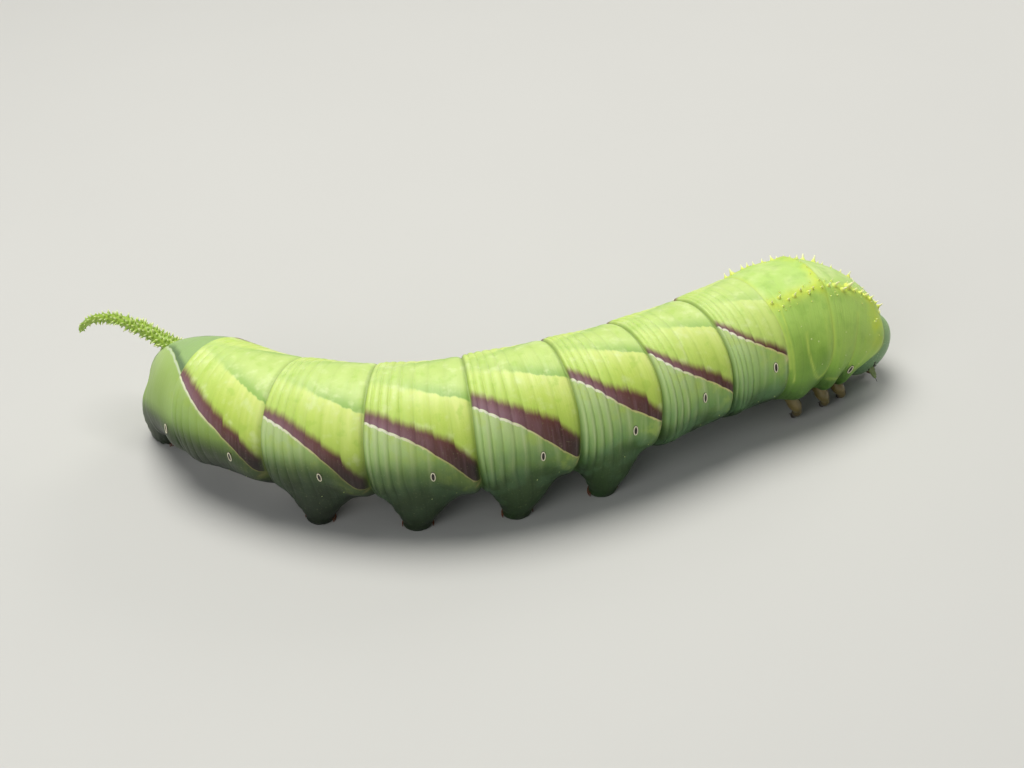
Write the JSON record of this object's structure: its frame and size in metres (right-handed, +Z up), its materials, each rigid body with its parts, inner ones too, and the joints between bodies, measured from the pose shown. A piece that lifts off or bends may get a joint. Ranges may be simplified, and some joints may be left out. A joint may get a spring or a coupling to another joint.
{
  "type": "rustic sphinx larva",
  "caption": "Full-grown green hawk moth larva curved to one side and resting on its feet, with oblique maroon stripes and a thorny tail horn.",
  "frame": {"origin": "on the floor, under the middle of the part's box", "axes": "+Z up, +X toward the head, +Y toward the animal's left side; the body bends round so that its right side bulges toward -Y"},
  "size_m": [0.0898, 0.0302, 0.0165],
  "materials": {
    "body_skin": "soft satin green skin with maroon oblique stripes",
    "thorax_skin": "soft satin yellow-green skin with yellow knobs",
    "proleg_skin": "soft matt dark green skin",
    "horn_skin": "rough yellow-green with pale thorns",
    "head_capsule": "smooth satin blue-green shell",
    "feeler": "pale satin green",
    "jaw": "glossy dark brown",
    "leg_shell": "glossy tan with dark claws"
  },
  "bodies": {
    "root": {"abdomen_1": "body_skin", "abdomen_2": "body_skin", "abdomen_3": "body_skin", "abdomen_4": "body_skin", "abdomen_5": "body_skin", "abdomen_6": "body_skin", "abdomen_7": "body_skin", "abdomen_8": "body_skin", "anal_proleg_left": "proleg_skin", "anal_proleg_right": "proleg_skin", "anal_segment": "body_skin", "antenna_left": "feeler", "antenna_right": "feeler", "head": "head_capsule", "horn": "horn_skin", "leg_1_left": "leg_shell", "leg_1_right": "leg_shell", "leg_2_left": "leg_shell", "leg_2_right": "leg_shell", "leg_3_left": "leg_shell", "leg_3_right": "leg_shell", "mandible_left": "jaw", "mandible_right": "jaw", "proleg_3_left": "proleg_skin", "proleg_3_right": "proleg_skin", "proleg_4_left": "proleg_skin", "proleg_4_right": "proleg_skin", "proleg_5_left": "proleg_skin", "proleg_5_right": "proleg_skin", "proleg_6_left": "proleg_skin", "proleg_6_right": "proleg_skin", "thorax_1": "thorax_skin", "thorax_2": "thorax_skin", "thorax_3": "thorax_skin"}
  },
  "joints": []
}
